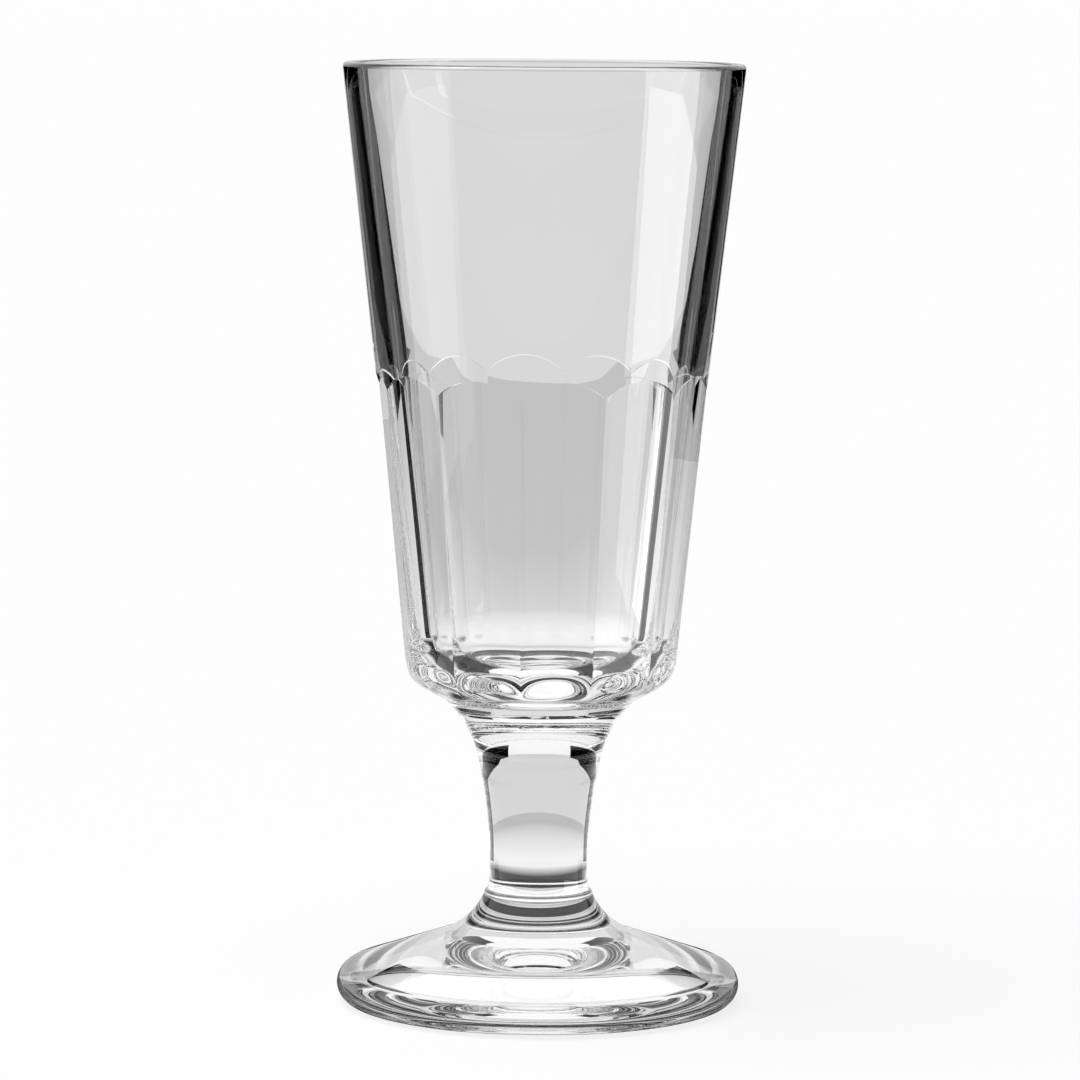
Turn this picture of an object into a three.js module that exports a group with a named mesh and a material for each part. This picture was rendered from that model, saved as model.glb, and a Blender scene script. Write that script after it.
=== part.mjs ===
// Footed soda glass: a fluted, tapered bowl on a short flared stem and a round foot.
// Millimetres, +Z up, origin at the centre of the resting ring.
// The three pieces are pressed apart and fused hot at two flat, round weld faces.
import * as THREE from "three";

// Heights of the three pieces, from the table up.
const FOOT_HEIGHT = 21.3;
const STEM_HEIGHT = 36.8;
const BOWL_HEIGHT = 120.9;

// The two weld faces, each shared by the pieces that meet there.
const LOWER_WELD_DIAMETER = 19.2;
const UPPER_WELD_DIAMETER = 36.6;

// Foot: a rounded edge, a low cone, a flare up to a small collar, and a hollow under it that is
// flattest in the middle.
const FOOT_DIAMETER = 77.1;
const FOOT_EDGE_RADIUS = 3.55;
const FOOT_EDGE_HEIGHT = 3.1;
const NECK_RISE = 5.95;
const NECK_FLARE_RADIUS = 14.5;
const COLLAR_STEP = 0.75;
const COLLAR_HEIGHT = 0.8;
const RESTING_RING_WIDTH = 3.7;
const UNDERSIDE_RISE = 6.8;
const UNDERSIDE_POWER = 2.5;

// Stem: a slight waist, a shaft that widens upwards, a crease, and a flare under the bowl.
const WAIST_DIAMETER = 18.7;
const WAIST_HEIGHT = 4.7;
const CREASE_DIAMETER = 24.15;
const FLARE_HEIGHT = 9.9;
const FLARE_RADIUS = 21.7;

// Bowl outside: sloping underside, rounded heel, fluted lower wall, plain upper wall.
const HEEL_DIAMETER = 51.6;
const HEEL_HEIGHT = 4.0;
const HEEL_RADIUS = 7.2;
const SHOULDER_DIAMETER = 63.4;
const RIM_DIAMETER = 76.4;
const RIM_EDGE_RADIUS = 0.9;

// Flutes: flat panels that meet at sharp edges on the wall, end in arches with a thin ledge at the
// shoulder and fade out on the heel.
const FLUTE_COUNT = 12;
const FLUTE_TOP_HEIGHT = 62.8;
const FLUTE_ARCH_HEIGHT = 3.15;
const FLUTE_LEDGE_HEIGHT = 0.2;
const FLUTE_FADE_START = 3.0;
const FLUTE_FADE_END = 9.0;

// Bowl inside: the walls left by a plain round plunger, over a thick base.
const BASE_THICKNESS = 3.5;
const BASE_WALL = 5.4;
const SHOULDER_WALL = 3.62;
const RIM_WALL = 2.3;
const FLOOR_CORNER_RADIUS = 12.0;

// Fineness of the curves.
const FLUTE_HALF_STEPS = 4;
const BOWL_SEGMENTS = 2 * FLUTE_HALF_STEPS * FLUTE_COUNT;
const STEM_SEGMENTS = 48;
const FOOT_SEGMENTS = 60;
const CORNER_STEPS = 4;
const SWEEP_STEPS = 6;

const FULL_TURN = 2 * Math.PI;
const FLUTE_ANGLE = FULL_TURN / FLUTE_COUNT;

function point(radius, height) {
  return new THREE.Vector2(radius, height);
}

// Points along a function of a share that runs from 0 to 1, both ends included.
function sweep(steps, place) {
  return Array.from({ length: steps + 1 }, (_, step) => place(step / steps));
}

// A circular arc the short way round from one point to another about a centre.
function arcAbout(centre, start, end, steps) {
  const from = start.clone().sub(centre);
  const turn = Math.atan2(from.cross(end.clone().sub(centre)), from.dot(end.clone().sub(centre)));
  return sweep(steps, (share) => start.clone().rotateAround(centre, turn * share));
}

// A circular arc of a given radius between two points, with its hollow side to the right of the way it runs.
function hollowArc(start, end, radius, steps) {
  const chord = end.clone().sub(start);
  const toCentre = Math.sqrt(radius ** 2 - chord.lengthSq() / 4);
  const right = point(chord.y, -chord.x).normalize();
  const centre = start.clone().lerp(end, 0.5).addScaledVector(right, toCentre);
  return arcAbout(centre, start, end, steps);
}

// A profile corner rounded to a radius, or to as much of it as the shorter side has room for.
function roundedCorner(before, corner, after, radius, steps) {
  const back = before.clone().sub(corner);
  const onward = after.clone().sub(corner);
  const halfAngle = Math.acos(back.dot(onward) / (back.length() * onward.length())) / 2;
  const room = Math.min(back.length(), onward.length());
  const reach = Math.min(radius / Math.tan(halfAngle), room);
  const start = corner.clone().addScaledVector(back.normalize(), reach);
  const end = corner.clone().addScaledVector(onward.normalize(), reach);
  const bisector = back.add(onward).normalize();
  const centre = corner.clone().addScaledVector(bisector, reach / Math.cos(halfAngle));
  return arcAbout(centre, start, end, steps);
}

// A solid of revolution about +Z from a profile that runs up the outside and back to the axis.
function turned(profile, segments) {
  return new THREE.LatheGeometry(profile, segments).rotateX(Math.PI / 2);
}

// Foot

function footGeometry() {
  const edgeCentre = point(FOOT_DIAMETER / 2 - FOOT_EDGE_RADIUS, FOOT_EDGE_HEIGHT);
  const ringReach = Math.sqrt(Math.max(FOOT_EDGE_RADIUS ** 2 - FOOT_EDGE_HEIGHT ** 2, 0));
  const ringOuter = point(edgeCentre.x + ringReach, 0);
  const ringInnerRadius = ringOuter.x - RESTING_RING_WIDTH;
  const weldRadius = LOWER_WELD_DIAMETER / 2;
  const neckRadius = weldRadius + COLLAR_STEP;

  // The cone runs from the rounded edge, along a tangent, to a point inside the flare.
  const coneTop = point(neckRadius, FOOT_HEIGHT - NECK_RISE);
  const toTop = coneTop.clone().sub(edgeCentre);
  const tangentAngle = toTop.angle() - Math.acos(FOOT_EDGE_RADIUS / toTop.length());
  const edgeDirection = point(Math.cos(tangentAngle), Math.sin(tangentAngle));
  const edgeTop = edgeCentre.clone().addScaledVector(edgeDirection, FOOT_EDGE_RADIUS);

  // The flare is an arc tangent to the cone that passes through the neck's top.
  const neckTop = point(neckRadius, FOOT_HEIGHT - COLLAR_HEIGHT);
  const climb = neckTop.y - coneTop.y;
  const down = edgeTop.clone().sub(coneTop).normalize();
  const coneNormal = point(-down.y, down.x);
  const squared = 2 * climb * NECK_FLARE_RADIUS * coneNormal.y - (climb * coneNormal.y) ** 2;
  const flareReach = climb * down.y + Math.sqrt(squared);
  const flareStart = coneTop.clone().addScaledVector(down, flareReach);
  const flareCentre = flareStart.clone().addScaledVector(coneNormal, NECK_FLARE_RADIUS);

  const underside = sweep(2 * CORNER_STEPS, (share) => {
    return point(ringInnerRadius * share, UNDERSIDE_RISE * (1 - share ** UNDERSIDE_POWER));
  });
  const collar = sweep(CORNER_STEPS, (share) => {
    const angle = (share * Math.PI) / 2;
    return point(weldRadius + COLLAR_STEP * Math.cos(angle), neckTop.y + COLLAR_HEIGHT * Math.sin(angle));
  });
  const profile = [
    ...underside,
    ...arcAbout(edgeCentre, ringOuter, edgeTop, 2 * CORNER_STEPS),
    ...arcAbout(flareCentre, flareStart, neckTop, SWEEP_STEPS),
    ...collar.slice(1),
    point(0, FOOT_HEIGHT),
  ];
  return turned(profile, FOOT_SEGMENTS);
}

// Stem

function stemGeometry() {
  const weldRadius = LOWER_WELD_DIAMETER / 2;
  const waistRadius = WAIST_DIAMETER / 2;
  const creaseRadius = CREASE_DIAMETER / 2;
  const creaseHeight = STEM_HEIGHT - FLARE_HEIGHT;

  const swell = sweep(CORNER_STEPS, (share) => {
    return point(waistRadius + (weldRadius - waistRadius) * (1 - share) ** 2, WAIST_HEIGHT * share);
  });
  const shaft = sweep(SWEEP_STEPS, (share) => {
    const height = WAIST_HEIGHT + (creaseHeight - WAIST_HEIGHT) * share;
    return point(waistRadius + (creaseRadius - waistRadius) * share ** 2, height);
  });
  const flareTop = point(UPPER_WELD_DIAMETER / 2, STEM_HEIGHT);
  const flare = hollowArc(point(creaseRadius, creaseHeight), flareTop, FLARE_RADIUS, SWEEP_STEPS);
  const profile = [point(0, 0), ...swell, ...shaft.slice(1), ...flare.slice(1), point(0, STEM_HEIGHT)];
  return turned(profile, STEM_SEGMENTS);
}

// Bowl

// Radius of the wall's sharp flute edges, and of its plain upper part, at a height over the weld.
function outerRadius(height) {
  const [low, high] =
    height < FLUTE_TOP_HEIGHT
      ? [point(HEEL_DIAMETER / 2, HEEL_HEIGHT), point(SHOULDER_DIAMETER / 2, FLUTE_TOP_HEIGHT)]
      : [point(SHOULDER_DIAMETER / 2, FLUTE_TOP_HEIGHT), point(RIM_DIAMETER / 2, BOWL_HEIGHT)];
  return low.x + ((high.x - low.x) * (height - low.y)) / (high.y - low.y);
}

// Share of a flute's full depth at a height over the weld.
function fluteDepth(height) {
  return THREE.MathUtils.smoothstep(height, FLUTE_FADE_START, FLUTE_FADE_END);
}

// Rise of a flute's arch over its foot, at an angle from the flute's middle: a circular arc.
function archRise(fromMiddle) {
  const halfWidth = ((SHOULDER_DIAMETER / 2) * FLUTE_ANGLE) / 2;
  const radius = (halfWidth ** 2 + FLUTE_ARCH_HEIGHT ** 2) / (2 * FLUTE_ARCH_HEIGHT);
  const along = (SHOULDER_DIAMETER / 2) * fromMiddle;
  return FLUTE_ARCH_HEIGHT - radius + Math.sqrt(Math.max(radius ** 2 - along ** 2, 0));
}

// The bowl's profile, each point with the flutes' share of depth there and whether it follows the arches.
function bowlProfile() {
  const weldEdge = point(UPPER_WELD_DIAMETER / 2, 0);
  const heel = point(HEEL_DIAMETER / 2, HEEL_HEIGHT);
  const shoulder = point(SHOULDER_DIAMETER / 2, FLUTE_TOP_HEIGHT);
  const round = (place) => ({ place, depth: 0, arched: false });
  const fluted = (place) => ({ place, depth: fluteDepth(place.y), arched: false });
  const arch = (height, depth) => ({ place: point(outerRadius(height), height), depth, arched: true });

  const archFoot = FLUTE_TOP_HEIGHT - FLUTE_ARCH_HEIGHT;
  const rimOuter = point(RIM_DIAMETER / 2, BOWL_HEIGHT);
  const rimInner = point(rimOuter.x - RIM_WALL, BOWL_HEIGHT);
  const shoulderInner = point(shoulder.x - SHOULDER_WALL, FLUTE_TOP_HEIGHT);
  const floorCorner = point(outerRadius(BASE_THICKNESS) - BASE_WALL, BASE_THICKNESS);
  const floorCentre = point(0, BASE_THICKNESS);
  const rimEdge = Math.min(RIM_EDGE_RADIUS, RIM_WALL / 2);

  return [
    round(point(0, 0)),
    round(weldEdge),
    ...roundedCorner(weldEdge, heel, shoulder, HEEL_RADIUS, SWEEP_STEPS).map(fluted),
    arch(archFoot - FLUTE_LEDGE_HEIGHT, 1),
    arch(archFoot, 0),
    ...roundedCorner(shoulder, rimOuter, rimInner, rimEdge, CORNER_STEPS).map(round),
    ...roundedCorner(rimOuter, rimInner, shoulderInner, rimEdge, CORNER_STEPS).map(round),
    round(shoulderInner),
    ...roundedCorner(shoulderInner, floorCorner, floorCentre, FLOOR_CORNER_RADIUS, SWEEP_STEPS).map(round),
    round(floorCentre),
  ];
}

function bowlGeometry() {
  const profile = bowlProfile();
  const geometry = turned(profile.map(({ place }) => place), BOWL_SEGMENTS);

  // Press the flat panels: at full depth each flute is a chord of the round section.
  const position = geometry.getAttribute("position");
  const stepsPerFlute = 2 * FLUTE_HALF_STEPS;
  for (let index = 0; index < position.count; index += 1) {
    const { place, depth, arched } = profile[index % profile.length];
    const column = Math.floor(index / profile.length);
    const fromMiddle = ((column % stepsPerFlute) / stepsPerFlute - 0.5) * FLUTE_ANGLE;
    const chord = Math.cos(FLUTE_ANGLE / 2) / Math.cos(fromMiddle);
    const height = arched ? place.y + archRise(fromMiddle) : place.y;
    const widening = arched ? outerRadius(height) / place.x : 1;
    const scale = widening * (1 - depth * (1 - chord));
    position.setXYZ(index, position.getX(index) * scale, position.getY(index) * scale, height);
  }
  return geometry;
}

// Assembly

function piece(name, geometry, height) {
  const material = new THREE.MeshStandardMaterial({
    color: 0xeef1f0,
    roughness: 0.03,
    metalness: 0,
    transparent: true,
    opacity: 0.35,
  });
  const mesh = new THREE.Mesh(geometry, material);
  mesh.name = name;
  mesh.position.z = height;
  return mesh;
}

const sodaGlass = new THREE.Group();
sodaGlass.add(
  piece("foot", footGeometry(), 0),
  piece("stem", stemGeometry(), FOOT_HEIGHT),
  piece("bowl", bowlGeometry(), FOOT_HEIGHT + STEM_HEIGHT),
);

export default sodaGlass;
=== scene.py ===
"""Footed soda glass in clear pressed glass, on a pale floor in a bright-field studio."""
import math

import bpy
import numpy as np
from mathutils import Matrix, Vector


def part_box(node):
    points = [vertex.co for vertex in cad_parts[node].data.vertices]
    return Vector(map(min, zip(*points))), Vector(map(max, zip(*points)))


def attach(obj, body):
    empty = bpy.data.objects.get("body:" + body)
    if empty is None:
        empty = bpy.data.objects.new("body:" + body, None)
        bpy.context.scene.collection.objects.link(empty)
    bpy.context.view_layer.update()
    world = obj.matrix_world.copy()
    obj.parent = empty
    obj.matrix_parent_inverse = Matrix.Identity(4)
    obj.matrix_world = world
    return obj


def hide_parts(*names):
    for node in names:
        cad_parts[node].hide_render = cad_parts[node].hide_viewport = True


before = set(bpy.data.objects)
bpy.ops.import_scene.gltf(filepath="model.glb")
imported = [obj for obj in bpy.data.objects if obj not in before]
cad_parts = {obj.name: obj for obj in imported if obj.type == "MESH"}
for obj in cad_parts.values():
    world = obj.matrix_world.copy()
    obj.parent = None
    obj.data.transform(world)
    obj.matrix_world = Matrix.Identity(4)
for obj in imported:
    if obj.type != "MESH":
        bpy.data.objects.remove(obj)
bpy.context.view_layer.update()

MM = 0.001


def node_heights(node):
    """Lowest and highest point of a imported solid, in millimetres."""
    low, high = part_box(node)
    return low[2] / MM, high[2] / MM


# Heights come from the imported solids, so the pieces meet where the solids do.
LOWER_WELD_HEIGHT = node_heights("foot")[1]
UPPER_WELD_HEIGHT = node_heights("stem")[1]
RIM_HEIGHT = node_heights("bowl")[1]

# Foot, in millimetres
LOWER_WELD_RADIUS = 9.6
FOOT_RADIUS = 38.55
FOOT_EDGE_RADIUS = 3.55
FOOT_EDGE_HEIGHT = 3.1
NECK_RISE = 5.95
NECK_FLARE_RADIUS = 14.5
COLLAR_STEP = 0.75
COLLAR_HEIGHT = 0.8
RESTING_RING_WIDTH = 3.7
UNDERSIDE_RISE = 6.8
UNDERSIDE_POWER = 2.5

# Stem
UPPER_WELD_RADIUS = 18.3
WAIST_RADIUS = 9.35
WAIST_HEIGHT = 4.7
CREASE_RADIUS = 12.075
FLARE_HEIGHT = 9.9
FLARE_RADIUS = 21.7

# Bowl
HEEL_RADIUS = 25.8
HEEL_HEIGHT = 4.0
HEEL_ROUNDING = 7.2
SHOULDER_RADIUS = 31.7
RIM_RADIUS = 38.2
RIM_EDGE_RADIUS = 0.9
FLUTE_COUNT = 12
FLUTE_TOP_HEIGHT = 62.8
FLUTE_ARCH_HEIGHT = 3.15
FLUTE_FADE_LOW = 3.0
FLUTE_FADE_HIGH = 9.0
BASE_THICKNESS = 3.5
BASE_WALL = 5.4
SHOULDER_WALL = 3.62
RIM_WALL = 2.3
FLOOR_CORNER_RADIUS = 12.0
ARRIS_SOFTNESS = 0.08
LEDGE_HEIGHT = 0.04
ARCH_BLEND = 12.0

# Rows and columns of the meshes. The columns beside a flute's edge are given in degrees from it, and the
# rows about the ledge reach a share of its height to each side.
EDGE_COLUMNS = [0.05, 0.12, 0.2, 0.32, 0.5, 0.8, 1.3, 2.2]
EVEN_START = 3.4
EVEN_COLUMNS = 13
LEDGE_REACH = 0.75
TURNED_COLUMNS = 288
SHARP_ANGLE = math.radians(40)

FULL_TURN = 2 * math.pi
FLUTE_ANGLE = FULL_TURN / FLUTE_COUNT


# Profiles


def point(radius, height):
    return np.array([radius, height], dtype=float)


def unit(vector):
    return vector / np.linalg.norm(vector)


def arc_about(centre, start, end, steps):
    """A circular arc the short way round from start to end."""
    first = math.atan2(*(start - centre)[::-1])
    last = math.atan2(*(end - centre)[::-1])
    turn = (last - first + math.pi) % FULL_TURN - math.pi
    angles = first + turn * np.linspace(0, 1, steps + 1)
    radius = np.linalg.norm(start - centre)
    return [centre + radius * point(math.cos(a), math.sin(a)) for a in angles]


def hollow_arc(start, end, radius, steps):
    """An arc of a given radius with its hollow side to the right of the way it runs."""
    chord = end - start
    to_centre = math.sqrt(radius**2 - chord @ chord / 4)
    right = unit(point(chord[1], -chord[0]))
    return arc_about((start + end) / 2 + right * to_centre, start, end, steps)


def rounded_corner(before, corner, after, radius, steps):
    """A profile corner rounded to a radius."""
    back, onward = unit(before - corner), unit(after - corner)
    half_angle = math.acos(back @ onward) / 2
    reach = radius / math.tan(half_angle)
    centre = corner + unit(back + onward) * radius / math.sin(half_angle)
    return arc_about(centre, corner + back * reach, corner + onward * reach, steps)


def line(start, end, steps):
    """Evenly spaced points between two places, without the ends."""
    return [start + (end - start) * share for share in np.linspace(0, 1, steps + 1)[1:-1]]


def foot_profile():
    edge_centre = point(FOOT_RADIUS - FOOT_EDGE_RADIUS, FOOT_EDGE_HEIGHT)
    ring_outer = point(edge_centre[0] + math.sqrt(FOOT_EDGE_RADIUS**2 - FOOT_EDGE_HEIGHT**2), 0)
    ring_inner = ring_outer[0] - RESTING_RING_WIDTH
    neck_radius = LOWER_WELD_RADIUS + COLLAR_STEP

    cone_top = point(neck_radius, LOWER_WELD_HEIGHT - NECK_RISE)
    to_top = cone_top - edge_centre
    tangent = math.atan2(to_top[1], to_top[0]) - math.acos(FOOT_EDGE_RADIUS / np.linalg.norm(to_top))
    edge_top = edge_centre + FOOT_EDGE_RADIUS * point(math.cos(tangent), math.sin(tangent))

    neck_top = point(neck_radius, LOWER_WELD_HEIGHT - COLLAR_HEIGHT)
    climb = neck_top[1] - cone_top[1]
    down = unit(edge_top - cone_top)
    normal = point(-down[1], down[0])
    squared = 2 * climb * NECK_FLARE_RADIUS * normal[1] - (climb * normal[1]) ** 2
    flare_start = cone_top + down * (climb * down[1] + math.sqrt(squared))
    flare_centre = flare_start + normal * NECK_FLARE_RADIUS

    underside = [
        point(ring_inner * s, UNDERSIDE_RISE * (1 - s**UNDERSIDE_POWER)) for s in np.linspace(0, 1, 41)
    ]
    collar = [
        point(LOWER_WELD_RADIUS + COLLAR_STEP * math.cos(a), neck_top[1] + COLLAR_HEIGHT * math.sin(a))
        for a in np.linspace(0, math.pi / 2, 13)
    ]
    return [
        *underside,
        *line(underside[-1], ring_outer, 4),
        *arc_about(edge_centre, ring_outer, edge_top, 36),
        *line(edge_top, flare_start, 12),
        *arc_about(flare_centre, flare_start, neck_top, 28),
        *collar[1:],
        point(0, LOWER_WELD_HEIGHT),
    ]


def stem_profile():
    bottom = LOWER_WELD_HEIGHT
    waist = bottom + WAIST_HEIGHT
    crease = UPPER_WELD_HEIGHT - FLARE_HEIGHT
    swell = [
        point(WAIST_RADIUS + (LOWER_WELD_RADIUS - WAIST_RADIUS) * (1 - s) ** 2, bottom + WAIST_HEIGHT * s)
        for s in np.linspace(0, 1, 9)
    ]
    shaft = [
        point(WAIST_RADIUS + (CREASE_RADIUS - WAIST_RADIUS) * s**2, waist + (crease - waist) * s)
        for s in np.linspace(0, 1, 33)
    ]
    flare = hollow_arc(shaft[-1], point(UPPER_WELD_RADIUS, UPPER_WELD_HEIGHT), FLARE_RADIUS, 32)
    return [point(0, bottom), *swell, *shaft[1:], *flare[1:], point(0, UPPER_WELD_HEIGHT)]


def wall_radius(height):
    """Radius of the bowl's outer wall, and of the flutes' sharp edges, at a height over the weld."""
    rim = RIM_HEIGHT - UPPER_WELD_HEIGHT
    heights = [HEEL_HEIGHT, FLUTE_TOP_HEIGHT, rim]
    radii = [HEEL_RADIUS, SHOULDER_RADIUS, RIM_RADIUS]
    return np.interp(height, heights, radii)


def flute_depth(height):
    """Share of a flute's full depth at a height over the weld: the flutes fade out on the round heel."""
    share = np.clip((height - FLUTE_FADE_LOW) / (FLUTE_FADE_HIGH - FLUTE_FADE_LOW), 0, 1)
    return share**2 * (3 - 2 * share)


def bowl_rows():
    """The bowl's profile as rows of radius, height, flute share and arch share."""
    rim_height = RIM_HEIGHT - UPPER_WELD_HEIGHT
    weld = point(UPPER_WELD_RADIUS, 0)
    heel = point(HEEL_RADIUS, HEEL_HEIGHT)
    shoulder = point(SHOULDER_RADIUS, FLUTE_TOP_HEIGHT)
    heel_curve = rounded_corner(weld, heel, shoulder, HEEL_ROUNDING, 28)
    arch_foot = FLUTE_TOP_HEIGHT - FLUTE_ARCH_HEIGHT

    rows = [(0.0, 0.0, 0.0, 0.0)]
    for share in np.linspace(0, 1, 9)[:-1]:
        place = weld + (heel_curve[0] - weld) * share
        rows.append((*place, flute_depth(place[1]), 0.0))
    rows += [(*place, flute_depth(place[1]), 0.0) for place in heel_curve]
    low = heel_curve[-1][1]
    for height in np.linspace(low, arch_foot - ARCH_BLEND, 16)[1:]:
        rows.append((wall_radius(height), height, 1.0, 0.0))
    ledge = LEDGE_HEIGHT * LEDGE_REACH
    for share in np.linspace(0, 1, 13)[1:]:
        height = arch_foot - ARCH_BLEND + (ARCH_BLEND - ledge) * share
        rows.append((wall_radius(height), height, 1.0, share**2 * (3 - 2 * share)))
    for offset in np.linspace(-ledge, ledge, 17)[1:]:
        height = arch_foot + offset
        rows.append((wall_radius(height), height, 1.0, 1.0))
    for share in np.linspace(0, 1, 15)[1:]:
        height = arch_foot + ledge + ARCH_BLEND * share
        rows.append((wall_radius(height), height, 1.0, 1 - share**2 * (3 - 2 * share)))
    top = point(RIM_RADIUS, rim_height)
    inner_top = point(RIM_RADIUS - RIM_WALL, rim_height)
    outer_edge = rounded_corner(shoulder, top, inner_top, RIM_EDGE_RADIUS, 12)
    last = rows[-1][1]
    for height in np.linspace(last, outer_edge[0][1], 12)[1:-1]:
        rows.append((wall_radius(height), height, 1.0, 0.0))
    shoulder_inner = point(SHOULDER_RADIUS - SHOULDER_WALL, FLUTE_TOP_HEIGHT)
    corner = point(wall_radius(BASE_THICKNESS) - BASE_WALL, BASE_THICKNESS)
    centre = point(0, BASE_THICKNESS)
    inner_edge = rounded_corner(top, inner_top, shoulder_inner, RIM_EDGE_RADIUS, 12)
    floor_curve = rounded_corner(shoulder_inner, corner, centre, FLOOR_CORNER_RADIUS, 28)
    inside = [
        *outer_edge,
        *inner_edge,
        *line(inner_edge[-1], shoulder_inner, 12),
        shoulder_inner,
        *line(shoulder_inner, floor_curve[0], 12),
        *floor_curve,
        *line(floor_curve[-1], centre, 6),
        centre,
    ]
    outside_count = len(rows)
    rows += [(*place, 0.0, 0.0) for place in inside]
    return np.array(rows), outside_count


def smooth_min(first, second, softness):
    """The smaller of two lengths, with the crossing rounded off."""
    blend = np.clip(softness - np.abs(first - second), 0, None) / softness
    return np.minimum(first, second) - blend**2 * softness / 4


def bowl_surface():
    """Radius, height and angle of the bowl's grid: flat flutes pressed into the turned profile."""
    half = FLUTE_ANGLE / 2
    near = np.radians(EDGE_COLUMNS)
    even = half - math.radians(EVEN_START)
    across = np.linspace(-even, even, EVEN_COLUMNS)
    offsets = np.concatenate([[-half], -half + near, across, half - near[::-1]])
    angles = (np.arange(FLUTE_COUNT)[:, None] * FLUTE_ANGLE + half + offsets).ravel()
    from_centre = np.tile(offsets, FLUTE_COUNT)

    rows, outside_count = bowl_rows()
    profile_radius, profile_height, flute, arch = (rows[:, [k]] for k in range(4))
    arch_half = SHOULDER_RADIUS * half
    arch_radius = (arch_half**2 + FLUTE_ARCH_HEIGHT**2) / (2 * FLUTE_ARCH_HEIGHT)
    along = SHOULDER_RADIUS * from_centre
    arch_rise = FLUTE_ARCH_HEIGHT - arch_radius + np.sqrt(arch_radius**2 - along**2)

    height = profile_height + arch * arch_rise
    outside = np.arange(len(rows))[:, None] < outside_count
    radius = np.where(outside & (arch > 0), wall_radius(height), profile_radius)

    # A flute is a flat panel: a chord of the round section.
    panel = radius * math.cos(half) / np.cos(from_centre)
    neighbour = radius * math.cos(half) / np.cos(2 * half - np.abs(from_centre))
    panel = radius + (smooth_min(panel, neighbour, ARRIS_SOFTNESS) - radius) * flute
    above = np.clip((height - (FLUTE_TOP_HEIGHT - FLUTE_ARCH_HEIGHT) - arch_rise) / LEDGE_HEIGHT + 0.5, 0, 1)
    step = above**2 * (3 - 2 * above)
    pressed = panel + (radius - panel) * step
    radius = np.where(outside, pressed, radius)
    return radius, height + UPPER_WELD_HEIGHT, angles


# Meshes


def turned_mesh(name, radius, height, angles, welds):
    """A closed mesh from a grid of rings by columns whose first and last ring lie on the axis.

    Faces of the rings listed in welds get the second material.
    """
    rings, columns = radius.shape
    x = radius * np.sin(angles)
    y = -radius * np.cos(angles)
    grid = np.stack([x, y, height], axis=-1)[1:-1].reshape(-1, 3)
    bottom = [0, 0, height[0, 0]]
    top = [0, 0, height[-1, 0]]
    vertices = np.vstack([grid, [bottom], [top]]) * MM
    bottom_index, top_index = len(grid), len(grid) + 1

    faces, weld_faces = [], []
    for ring in range(rings - 1):
        for column in range(columns):
            onward = (column + 1) % columns
            if ring == 0:
                face = (bottom_index, onward, column)
            elif ring == rings - 2:
                base = (ring - 1) * columns
                face = (base + column, base + onward, top_index)
            else:
                base = (ring - 1) * columns
                face = (base + column, base + onward, base + columns + onward, base + columns + column)
            if ring in welds:
                weld_faces.append(len(faces))
            faces.append(face)
    mesh = bpy.data.meshes.new(name)
    mesh.from_pydata(vertices.tolist(), [], faces)
    mesh.polygons.foreach_set("use_smooth", [True] * len(faces))
    indices = np.zeros(len(faces), dtype=np.int32)
    indices[weld_faces] = 1
    mesh.polygons.foreach_set("material_index", indices)
    mesh.validate()
    mesh.update()
    return mesh


def revolved(name, profile, columns, welds):
    profile = np.array(profile)
    angles = np.arange(columns) * FULL_TURN / columns
    radius = np.repeat(profile[:, [0]], columns, axis=1)
    height = np.repeat(profile[:, [1]], columns, axis=1)
    return turned_mesh(name, radius, height, angles, welds)


# Materials

GLASS_IOR = 1.52
GLASS_TINT_CLEAR = (0.989, 0.991, 0.990, 1)
GLASS_TINT_DEEP = (0.979, 0.984, 0.982, 1)
CORD_SCALE = 22.0
HAZE_SCALE = 90.0
HAZE_ONSET = 0.55
HAZE_FULL = 0.8
HAZE_ROUGHNESS = 0.015
WEAR_HEIGHT = 0.0003
WEAR_ROUGHNESS = 0.3
WAVE_SCALE = 55.0
WAVE_HEIGHT = 0.00002


def noise_texture(nodes, links, scale, detail):
    """Noise that is fixed to the piece, with its scale in features per metre."""
    place = nodes.new("ShaderNodeTexCoord")
    noise = nodes.new("ShaderNodeTexNoise")
    noise.inputs["Scale"].default_value = scale
    noise.inputs["Detail"].default_value = detail
    links.new(place.outputs["Object"], noise.inputs["Vector"])
    return noise


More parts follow.
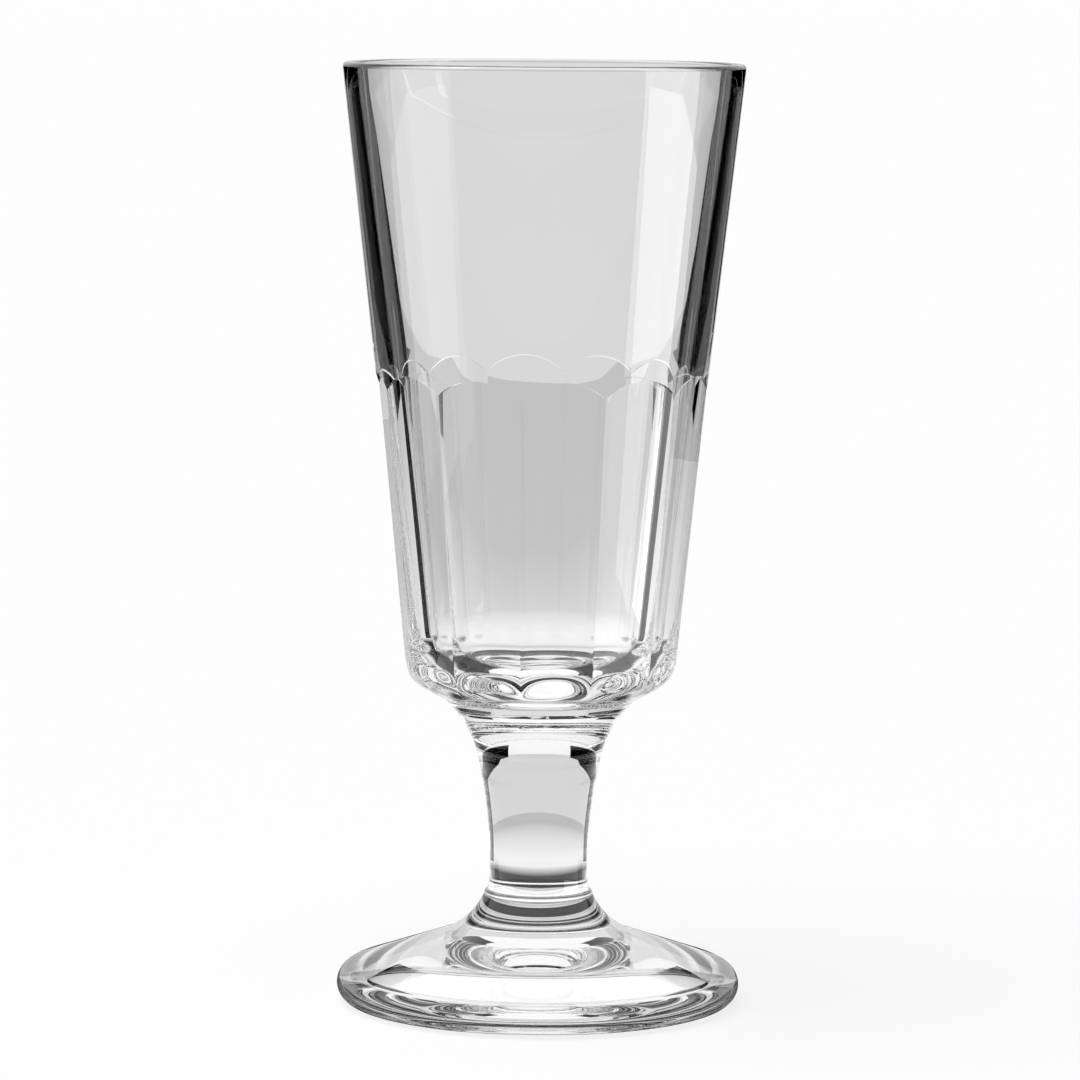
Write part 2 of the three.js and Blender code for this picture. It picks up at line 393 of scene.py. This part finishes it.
def glass_material(name):
    """Clear pressed glass: faint waves left by the mould, a little haze in patches, a worn resting ring."""
    material = bpy.data.materials.new(name)
    material.use_nodes = True
    nodes, links = material.node_tree.nodes, material.node_tree.links
    shader = nodes["Principled BSDF"]
    shader.inputs["IOR"].default_value = GLASS_IOR
    shader.inputs["Transmission Weight"].default_value = 1.0

    cords = noise_texture(nodes, links, CORD_SCALE, 2.0)
    tint = nodes.new("ShaderNodeValToRGB")
    tint.color_ramp.elements[0].color = GLASS_TINT_DEEP
    tint.color_ramp.elements[1].color = GLASS_TINT_CLEAR
    links.new(cords.outputs["Fac"], tint.inputs["Fac"])
    links.new(tint.outputs["Color"], shader.inputs["Base Color"])

    smears = noise_texture(nodes, links, HAZE_SCALE, 4.0)
    haze = nodes.new("ShaderNodeMapRange")
    haze.inputs["From Min"].default_value = HAZE_ONSET
    haze.inputs["From Max"].default_value = HAZE_FULL
    haze.inputs["To Max"].default_value = HAZE_ROUGHNESS
    place = nodes.new("ShaderNodeNewGeometry")
    height = nodes.new("ShaderNodeSeparateXYZ")
    wear = nodes.new("ShaderNodeMapRange")
    wear.inputs["From Min"].default_value = 0.0
    wear.inputs["From Max"].default_value = WEAR_HEIGHT
    wear.inputs["To Min"].default_value = WEAR_ROUGHNESS
    wear.inputs["To Max"].default_value = 0.0
    rougher = nodes.new("ShaderNodeMath")
    rougher.operation = "MAXIMUM"
    links.new(smears.outputs["Fac"], haze.inputs["Value"])
    links.new(place.outputs["Position"], height.inputs["Vector"])
    links.new(height.outputs["Z"], wear.inputs["Value"])
    links.new(haze.outputs["Result"], rougher.inputs[0])
    links.new(wear.outputs["Result"], rougher.inputs[1])
    links.new(rougher.outputs["Value"], shader.inputs["Roughness"])

    waves = noise_texture(nodes, links, WAVE_SCALE, 1.0)
    bump = nodes.new("ShaderNodeBump")
    bump.inputs["Distance"].default_value = WAVE_HEIGHT
    links.new(waves.outputs["Fac"], bump.inputs["Height"])
    links.new(bump.outputs["Normal"], shader.inputs["Normal"])
    return material


def weld_material():
    """Fused glass has no surface at a weld, so its face lets everything through."""
    material = bpy.data.materials.new("fused_weld")
    material.use_nodes = True
    nodes, links = material.node_tree.nodes, material.node_tree.links
    nodes.remove(nodes["Principled BSDF"])
    clear = nodes.new("ShaderNodeBsdfTransparent")
    links.new(clear.outputs["BSDF"], nodes["Material Output"].inputs["Surface"])
    return material


def emission_material(name, strength):
    material = bpy.data.materials.new(name)
    material.use_nodes = True
    nodes, links = material.node_tree.nodes, material.node_tree.links
    nodes.remove(nodes["Principled BSDF"])
    glow = nodes.new("ShaderNodeEmission")
    glow.inputs["Strength"].default_value = strength
    links.new(glow.outputs["Emission"], nodes["Material Output"].inputs["Surface"])
    return material


def graded_material(name, near, far):
    """A glow that changes evenly with the distance from the axis, between two radii with their strengths."""
    material = emission_material(name, 1.0)
    nodes, links = material.node_tree.nodes, material.node_tree.links
    place = nodes.new("ShaderNodeNewGeometry")
    length = nodes.new("ShaderNodeVectorMath")
    length.operation = "LENGTH"
    ramp = nodes.new("ShaderNodeMapRange")
    ramp.inputs["From Min"].default_value, ramp.inputs["To Min"].default_value = near
    ramp.inputs["From Max"].default_value, ramp.inputs["To Max"].default_value = far
    links.new(place.outputs["Position"], length.inputs[0])
    links.new(length.outputs["Value"], ramp.inputs["Value"])
    links.new(ramp.outputs["Result"], nodes["Emission"].inputs["Strength"])
    return material


# Pieces


def add_piece(mesh, node, slot, weld):
    piece = bpy.data.objects.new(mesh.name, mesh)
    bpy.context.scene.collection.objects.link(piece)
    mesh.materials.append(glass_material(slot))
    mesh.materials.append(weld)
    mesh.set_sharp_from_angle(angle=SHARP_ANGLE)
    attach(piece, "root")
    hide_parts(node)


weld = weld_material()
foot_points = foot_profile()
stem_points = stem_profile()
bowl_radius, bowl_height, bowl_angles = bowl_surface()
foot_mesh = revolved("pressed_foot", foot_points, TURNED_COLUMNS, {len(foot_points) - 2})
stem_mesh = revolved("pressed_stem", stem_points, TURNED_COLUMNS, {0, len(stem_points) - 2})
bowl_mesh = turned_mesh("pressed_bowl", bowl_radius, bowl_height, bowl_angles, {0})
add_piece(foot_mesh, "foot", "foot_glass", weld)
add_piece(stem_mesh, "stem", "stem_glass", weld)
add_piece(bowl_mesh, "bowl", "bowl_glass", weld)


# Stage

CAMERA_AZIMUTH = math.radians(8)
CAMERA_PITCH = math.radians(6.3)
CAMERA_ROLL = math.radians(0.45)
CAMERA_DISTANCE = 1.0097
AIM_HEIGHT = 0.0884
AXIS_OFFSET = 0.00019
FOCAL_PIXELS = 5300
IMAGE_PIXELS = 1080
SENSOR = 36.0

FLOOR_REACH = 40.0
FLOOR_LEVEL = -0.0006
FLOOR_COLOUR = (0.93, 0.93, 0.93, 1)
FLOOR_ROUGHNESS = 0.8
FLOOR_WHITE_SHARE = 0.8
ROOM_GLOW = 0.004
WHITE_GLOW = 1.0
SUN_STRENGTH = 3.3
SUN_SPREAD = math.radians(60)
SUN_TILT = (math.radians(12), math.radians(-15), 0)

# The studio that the glass sees. Lengths are in metres, angles in degrees from the camera's direction;
# pairs are a radius and the brightness there, and a flag's edge is heights with angles off the back.
CARD_LEVEL = -0.0003
CARD_GAP = 0.0001
CARD_ANGLE_STEP = 3
UNDER_RADIUS = 0.032
UNDER_GLOW = 1.05
SHADOW_NEAR = (0.11, 0.02)
FLOOR_NEAR = (0.15, 0.95)
FLOOR_FAR = (0.6, 0.52)
HORIZON = 1.08
BACKDROP_TOP = 0.31
BACKDROP_GLOW = 0.7
FLAG_DISTANCE = 0.26
FLAG_EDGE = ((0.08, 30), (0.09, 20), (0.18, 20))
LOW_FLAG_DISTANCE = 0.2
LOW_FLAG_EDGE = ((0.074, 36), (0.1, 20))
FLAG_OUTER_ANGLE = 60
FLAG_STEPS = 12
FLAG_GLOW = 0.0
SIDE_FLAG_GLOW = 0.02
SIDE_FLAG_DISTANCE = 1.06
SIDE_FLAG_FIRST = {"right": 104, "left": 236}
SIDE_FLAG_WIDTH = 20
REFLECTOR_REACH = 0.95
RIGHT_REFLECTOR_ANGLES = (62, 104)
RIGHT_REFLECTOR_START = 0.24
RIGHT_REFLECTOR_GLOW = 3.0
LEFT_REFLECTOR_ANGLES = (-104, -57)
LEFT_REFLECTOR_START = 0.33
LEFT_REFLECTOR_GLOW = 1.5
ALL_ROUND = (-180, 180)
GLASS_BOUNCES = 32
MIRROR_BOUNCES = 16


def add_camera():
    toward = Vector((math.sin(CAMERA_AZIMUTH), -math.cos(CAMERA_AZIMUTH), 0))
    right = Vector((math.cos(CAMERA_AZIMUTH), math.sin(CAMERA_AZIMUTH), 0))
    back = toward * math.cos(CAMERA_PITCH) + Vector((0, 0, math.sin(CAMERA_PITCH)))
    aim = Vector((0, 0, AIM_HEIGHT)) - right * AXIS_OFFSET
    up = back.cross(right)
    data = bpy.data.cameras.new("camera")
    data.sensor_width = SENSOR
    data.lens = SENSOR * FOCAL_PIXELS / IMAGE_PIXELS
    camera = bpy.data.objects.new("camera", data)
    basis = Matrix((right, up, back)).transposed().to_4x4()
    roll = Matrix.Rotation(CAMERA_ROLL, 4, "Z")
    camera.matrix_world = Matrix.Translation(aim + back * CAMERA_DISTANCE) @ basis @ roll
    bpy.context.scene.collection.objects.link(camera)
    bpy.context.scene.camera = camera


def direction(relative):
    """Horizontal direction at an angle from the camera's, in degrees, positive to the camera's right."""
    angle = CAMERA_AZIMUTH + math.radians(relative)
    return Vector((math.sin(angle), -math.cos(angle), 0))


def add_card(name, vertices, faces, strength):
    """A glowing studio card that the glass sees and the camera and the floor don't."""
    mesh = bpy.data.meshes.new(name)
    mesh.from_pydata(vertices, [], faces)
    mesh.materials.append(emission_material(name, strength))
    card = bpy.data.objects.new(name, mesh)
    bpy.context.scene.collection.objects.link(card)
    card.visible_camera = False
    card.visible_diffuse = False
    card.visible_shadow = False
    return card


def add_arc_card(name, first, last, inner, outer, strength):
    """A card about the glass between two angles from the camera's direction.

    Its inner and outer edges are given as radius and height.
    """
    steps = int((last - first) / CARD_ANGLE_STEP)
    vertices, faces = [], []
    for step in range(steps + 1):
        out = direction(first + (last - first) * step / steps)
        for radius, height in (inner, outer):
            vertices.append((out.x * radius, out.y * radius, height))
    for step in range(steps):
        base = 2 * step
        faces.append((base, base + 1, base + 3, base + 2))
    return add_card(name, vertices, faces, strength)


def add_floor():
    """A pale floor without end. The camera sees it near white, with the glass's soft shadow."""
    mesh = bpy.data.meshes.new("floor")
    reach = FLOOR_REACH
    corners = [(-reach, -reach), (reach, -reach), (reach, reach), (-reach, reach)]
    mesh.from_pydata([(x, y, FLOOR_LEVEL) for x, y in corners], [], [(0, 1, 2, 3)])
    material = bpy.data.materials.new("floor")
    material.use_nodes = True
    nodes, links = material.node_tree.nodes, material.node_tree.links
    shader = nodes["Principled BSDF"]
    shader.inputs["Base Color"].default_value = FLOOR_COLOUR
    shader.inputs["Roughness"].default_value = FLOOR_ROUGHNESS
    shader.inputs["Specular IOR Level"].default_value = 0.0
    path = nodes.new("ShaderNodeLightPath")
    share = nodes.new("ShaderNodeMath")
    share.operation = "MULTIPLY"
    share.inputs[1].default_value = FLOOR_WHITE_SHARE
    glow = nodes.new("ShaderNodeEmission")
    mix = nodes.new("ShaderNodeMixShader")
    links.new(path.outputs["Is Camera Ray"], share.inputs[0])
    links.new(share.outputs[0], mix.inputs["Fac"])
    links.new(shader.outputs["BSDF"], mix.inputs[1])
    links.new(glow.outputs["Emission"], mix.inputs[2])
    links.new(mix.outputs["Shader"], nodes["Material Output"].inputs["Surface"])
    mesh.materials.append(material)
    floor = bpy.data.objects.new("floor", mesh)
    bpy.context.scene.collection.objects.link(floor)
    floor.visible_transmission = False
    floor.visible_glossy = False


def add_world():
    """White for the camera and for what the glass mirrors or lets through, and nearly dark for the floor."""
    world = bpy.data.worlds.new("studio")
    bpy.context.scene.world = world
    world.use_nodes = True
    nodes, links = world.node_tree.nodes, world.node_tree.links
    background = nodes["Background"]
    background.inputs["Color"].default_value = (1, 1, 1, 1)
    path = nodes.new("ShaderNodeLightPath")
    mix = nodes.new("ShaderNodeMix")
    mix.data_type = "FLOAT"
    seen = nodes.new("ShaderNodeMath")
    seen.operation = "MAXIMUM"
    through_glass = nodes.new("ShaderNodeMath")
    through_glass.operation = "MAXIMUM"
    links.new(path.outputs["Is Glossy Ray"], through_glass.inputs[0])
    links.new(path.outputs["Is Transmission Ray"], through_glass.inputs[1])
    links.new(path.outputs["Is Camera Ray"], seen.inputs[0])
    links.new(through_glass.outputs[0], seen.inputs[1])
    links.new(seen.outputs[0], mix.inputs[0])
    mix.inputs[2].default_value = ROOM_GLOW
    mix.inputs[3].default_value = WHITE_GLOW
    links.new(mix.outputs[0], background.inputs["Strength"])


def add_sun():
    """Even light from above, which the floor gets and the glass doesn't mirror."""
    data = bpy.data.lights.new("sky_light", "SUN")
    data.energy = SUN_STRENGTH
    data.angle = SUN_SPREAD
    lamp = bpy.data.objects.new("sky_light", data)
    lamp.rotation_euler = SUN_TILT
    lamp.visible_glossy = False
    lamp.visible_transmission = False
    bpy.context.scene.collection.objects.link(lamp)


def add_graded_ring(name, near, far, first, last):
    """A card on the floor all round the glass, graded from one radius and brightness to another."""
    ring = add_arc_card(name, *ALL_ROUND, (first, CARD_LEVEL), (last, CARD_LEVEL), 1.0)
    ring.data.materials[0] = graded_material(name, near, far)


def add_floor_card(name, first, last, inner, outer, strength):
    """A card that lies on the floor cards, between two angles and two radii."""
    level = CARD_LEVEL + CARD_GAP
    add_arc_card(name, first, last, (inner, level), (outer, level), strength)


def add_flag(name, side, distance, edge):
    """A black card behind the glass, off to one side. Its inner edge darkens the bowl's outline."""
    vertices, faces = [], []
    for step in range(FLAG_STEPS + 1):
        for height, first in edge:
            angle = 180 + side * (first + (FLAG_OUTER_ANGLE - first) * step / FLAG_STEPS)
            out = direction(angle) * distance
            vertices.append((out.x, out.y, height))
    rows = len(edge)
    for step in range(FLAG_STEPS):
        for row in range(rows - 1):
            base = rows * step + row
            faces.append((base, base + 1, base + rows + 1, base + rows))
    add_card(name, vertices, faces, FLAG_GLOW)


def add_side_flag(side):
    """A black wedge of floor and backdrop, for the dark lines along the stem and the outer flutes."""
    name = side + "_side_flag"
    first = SIDE_FLAG_FIRST[side]
    last = first + SIDE_FLAG_WIDTH
    add_floor_card(name + "_low", first, last, FLOOR_NEAR[0], SIDE_FLAG_DISTANCE, SIDE_FLAG_GLOW)
    low, high = (SIDE_FLAG_DISTANCE, CARD_LEVEL), (SIDE_FLAG_DISTANCE, BACKDROP_TOP)
    add_arc_card(name + "_high", first, last, low, high, SIDE_FLAG_GLOW)


add_camera()
add_floor()
add_world()
add_sun()
add_graded_ring("studio_floor", FLOOR_NEAR, FLOOR_FAR, FLOOR_NEAR[0], HORIZON)
add_graded_ring("contact_shadow", SHADOW_NEAR, FLOOR_NEAR, UNDER_RADIUS, FLOOR_NEAR[0])
add_arc_card("under_floor", *ALL_ROUND, (0.0, CARD_LEVEL), (UNDER_RADIUS, CARD_LEVEL), UNDER_GLOW)
add_arc_card("backdrop", *ALL_ROUND, (HORIZON, CARD_LEVEL), (HORIZON, BACKDROP_TOP), BACKDROP_GLOW)
add_flag("right_flag", -1, FLAG_DISTANCE, FLAG_EDGE)
add_flag("left_flag", 1, FLAG_DISTANCE, FLAG_EDGE)
add_flag("low_right_flag", -1, LOW_FLAG_DISTANCE, LOW_FLAG_EDGE)
add_flag("low_left_flag", 1, LOW_FLAG_DISTANCE, LOW_FLAG_EDGE)
add_side_flag("right")
add_side_flag("left")
right_span = (RIGHT_REFLECTOR_START, REFLECTOR_REACH)
left_span = (LEFT_REFLECTOR_START, REFLECTOR_REACH)
add_floor_card("right_reflector", *RIGHT_REFLECTOR_ANGLES, *right_span, RIGHT_REFLECTOR_GLOW)
add_floor_card("left_reflector", *LEFT_REFLECTOR_ANGLES, *left_span, LEFT_REFLECTOR_GLOW)

scene = bpy.context.scene
scene.view_settings.view_transform = "Standard"
scene.cycles.max_bounces = GLASS_BOUNCES
scene.cycles.transmission_bounces = GLASS_BOUNCES
scene.cycles.glossy_bounces = MIRROR_BOUNCES
scene.cycles.transparent_max_bounces = GLASS_BOUNCES
